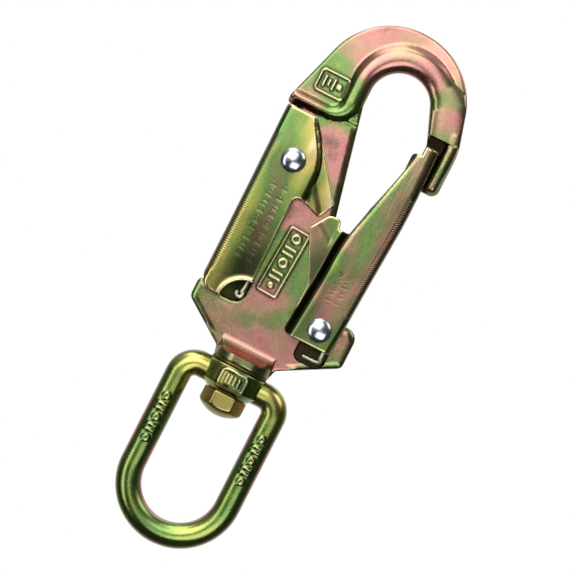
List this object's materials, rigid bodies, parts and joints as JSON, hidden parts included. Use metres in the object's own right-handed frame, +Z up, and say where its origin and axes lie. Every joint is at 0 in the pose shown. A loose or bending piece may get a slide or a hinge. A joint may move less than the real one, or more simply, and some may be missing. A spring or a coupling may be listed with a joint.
{
  "type": "swivel hook",
  "caption": "Forged snap hook with a sprung gate locked by a squeeze lever, and a closed oval eye that turns on a shank held by a hex nut.",
  "frame": {"origin": "where the swivel axis meets the inside of the hook's bend", "axes": "+Z up the swivel axis towards the bend, +X towards the gate, -Y the front face"},
  "size_m": [0.0643, 0.0232, 0.2101],
  "materials": {
    "forging": "forged alloy steel under a glossy yellow chromate zinc plating with pink and green interference colours",
    "stamping": "pressed sheet steel under yellow chromate zinc plating, greener than the forging, with bright sheared edges",
    "nut": "machined steel under yellow chromate zinc plating",
    "bush": "turned steel under yellow chromate zinc plating",
    "rivet": "bright smooth domed heads",
    "spring_wire": "bright drawn spring wire",
    "bronze": "plain bearing bronze, lightly greased"
  },
  "bodies": {
    "hook": {"hook_body": "forging", "upper_washer": "bronze", "lower_washer": "bronze", "swivel_nut": "nut", "gate_bush": "bush", "gate_rivet": "rivet", "lever_bush": "bush", "lever_rivet": "rivet", "gate_spring": "spring_wire", "lever_spring": "spring_wire"},
    "eye": {"swivel_eye": "forging"},
    "gate": {"gate": "stamping"},
    "lever": {"lock_lever": "stamping"}
  },
  "joints": [
    {"name": "swivel_spin", "type": "hinge", "parent": "hook", "child": "eye", "pos_m": [0, 0, -0.125], "axis": [0, 0, 1], "continuous": true},
    {"name": "lever_squeeze", "type": "hinge", "parent": "hook", "child": "lever", "pos_m": [-0.0168, 0, -0.0435], "axis": [0, -1, 0], "range_deg": [0, 15], "stiffness_Nm_per_rad": 0.4, "springref_deg": -28.65, "deforming": ["lever_spring"]},
    {"name": "gate_open", "type": "hinge", "parent": "hook", "child": "gate", "pos_m": [0.0197, 0, -0.0945], "axis": [0, -1, 0], "range_deg": [0, 17.1], "stiffness_Nm_per_rad": 0.4, "springref_deg": -28.65, "deforming": ["gate_spring"]}
  ],
  "couplings": [
    {"joint": "gate_open", "follows": "lever_squeeze", "ratio": 1.1333}
  ]
}
